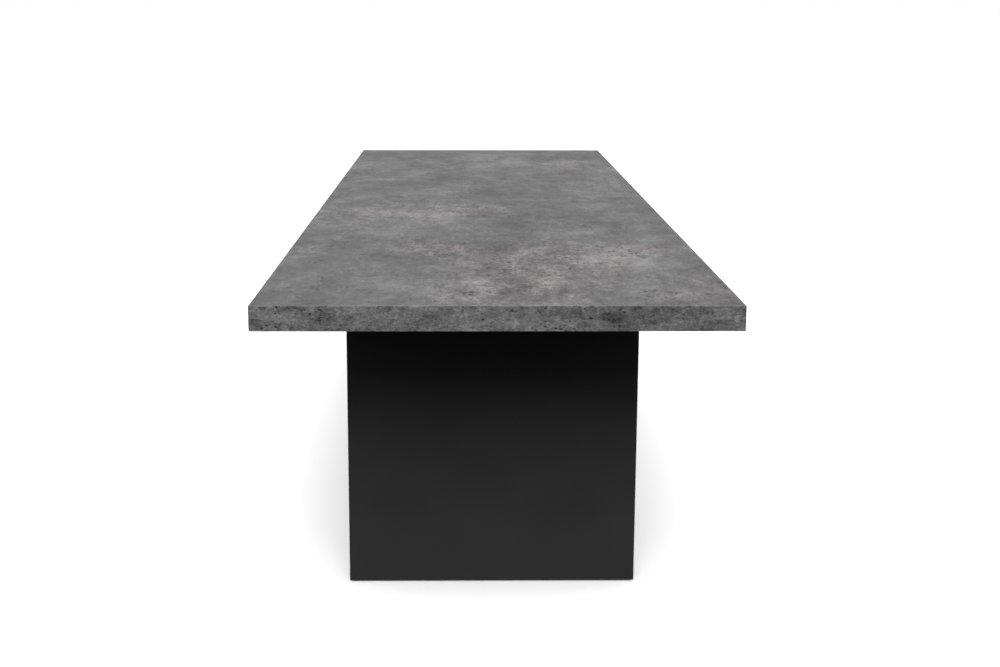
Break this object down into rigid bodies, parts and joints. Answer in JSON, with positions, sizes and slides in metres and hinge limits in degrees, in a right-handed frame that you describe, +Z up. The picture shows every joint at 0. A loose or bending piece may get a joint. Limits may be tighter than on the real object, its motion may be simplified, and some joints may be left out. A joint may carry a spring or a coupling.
{
  "type": "extendable dining table",
  "caption": "Extendable dining table: a thick concrete-look top that parts in the middle on slides, a stored loose leaf, and wide matte black panel legs.",
  "frame": {"origin": "on the floor, under the middle of the closed table", "axes": "+X across the table, +Y along the table towards the rear leg, +Z up"},
  "size_m": [0.95, 2.4, 0.75],
  "materials": {
    "top_decor": "concrete-look melamine on a thin board",
    "edge_decor": "concrete-look plastic edging",
    "underside": "matte black balancing melamine",
    "board_core": "raw chipboard ribs",
    "leg_board": "matte black melamine on a thin board",
    "black_steel": "black powder coat",
    "zinc_steel": "bright zinc plate",
    "slide_plastic": "natural acetal",
    "black_plastic": "moulded black nylon",
    "gear_brass": "machined brass"
  },
  "bodies": {
    "base": {"leg_front_shell": "leg_board", "leg_front_core": "board_core", "slide_strip_front": "slide_plastic", "end_plate_front": "black_steel", "leaf_bar_front": "black_steel", "end_bolt_front_1": "zinc_steel", "end_bolt_front_2": "zinc_steel", "end_bolt_front_3": "zinc_steel", "end_bolt_front_4": "zinc_steel", "foot_glide_front_left": "black_plastic", "foot_glide_front_right": "black_plastic", "leg_rear_shell": "leg_board", "leg_rear_core": "board_core", "slide_strip_rear": "slide_plastic", "end_plate_rear": "black_steel", "leaf_bar_rear": "black_steel", "end_bolt_rear_1": "zinc_steel", "end_bolt_rear_2": "zinc_steel", "end_bolt_rear_3": "zinc_steel", "end_bolt_rear_4": "zinc_steel", "foot_glide_rear_left": "black_plastic", "foot_glide_rear_right": "black_plastic", "side_rail_left": "black_steel", "side_rail_right": "black_steel", "guide_channel_left": "zinc_steel", "guide_channel_right": "zinc_steel", "pinion_axle": "zinc_steel"},
    "top_front": {"front_top_upper_skin": "top_decor", "front_top_core": "board_core", "front_top_lower_skin": "underside", "front_top_edge_band": "edge_decor", "align_pin_left": "zinc_steel", "align_pin_right": "zinc_steel", "runner_front_left": "black_steel", "runner_front_right": "black_steel", "slider_front_left": "slide_plastic", "slider_front_right": "slide_plastic", "rack_lower": "black_plastic", "latch_base_left": "zinc_steel", "latch_base_right": "zinc_steel"},
    "top_rear": {"rear_top_upper_skin": "top_decor", "rear_top_core": "board_core", "rear_top_lower_skin": "underside", "rear_top_edge_band": "edge_decor", "runner_rear_left": "black_steel", "runner_rear_right": "black_steel", "slider_rear_left": "slide_plastic", "slider_rear_right": "slide_plastic", "rack_upper": "black_plastic", "latch_keeper_left": "zinc_steel", "latch_keeper_right": "zinc_steel"},
    "pinion": {"pinion": "gear_brass"},
    "latch_left": {"latch_hook_left": "zinc_steel"},
    "latch_right": {"latch_hook_right": "zinc_steel"},
    "leaf": {"leaf_upper_skin": "top_decor", "leaf_core": "board_core", "leaf_lower_skin": "underside", "leaf_edge_band": "edge_decor", "leaf_pin_front": "zinc_steel", "leaf_pin_rear": "zinc_steel"}
  },
  "joints": [
    {"name": "front_top_slide", "type": "slide", "parent": "base", "child": "top_front", "axis": [0, -1, 0], "range_m": [0, 0.3]},
    {"name": "rear_top_slide", "type": "slide", "parent": "base", "child": "top_rear", "axis": [0, 1, 0], "range_m": [0, 0.3]},
    {"name": "pinion_spin", "type": "hinge", "parent": "base", "child": "pinion", "pos_m": [0.322, 0, 0.67], "axis": [-1, 0, 0], "range_deg": [0, 955]},
    {"name": "latch_left_turn", "type": "hinge", "parent": "top_front", "child": "latch_left", "pos_m": [-0.37, -0.04, 0.692], "axis": [0, 0, -1], "range_deg": [0, 90]},
    {"name": "latch_right_turn", "type": "hinge", "parent": "top_front", "child": "latch_right", "pos_m": [0.37, -0.04, 0.692], "axis": [0, 0, 1], "range_deg": [0, 90]},
    {"name": "leaf_slide", "type": "slide", "parent": "base", "child": "leaf", "axis": [0, 1, 0], "range_m": [-0.25, 0.25]}
  ],
  "couplings": [
    {"joint": "rear_top_slide", "follows": "front_top_slide", "ratio": 1},
    {"joint": "pinion_spin", "follows": "front_top_slide", "rad_per_m": 55.556}
  ]
}
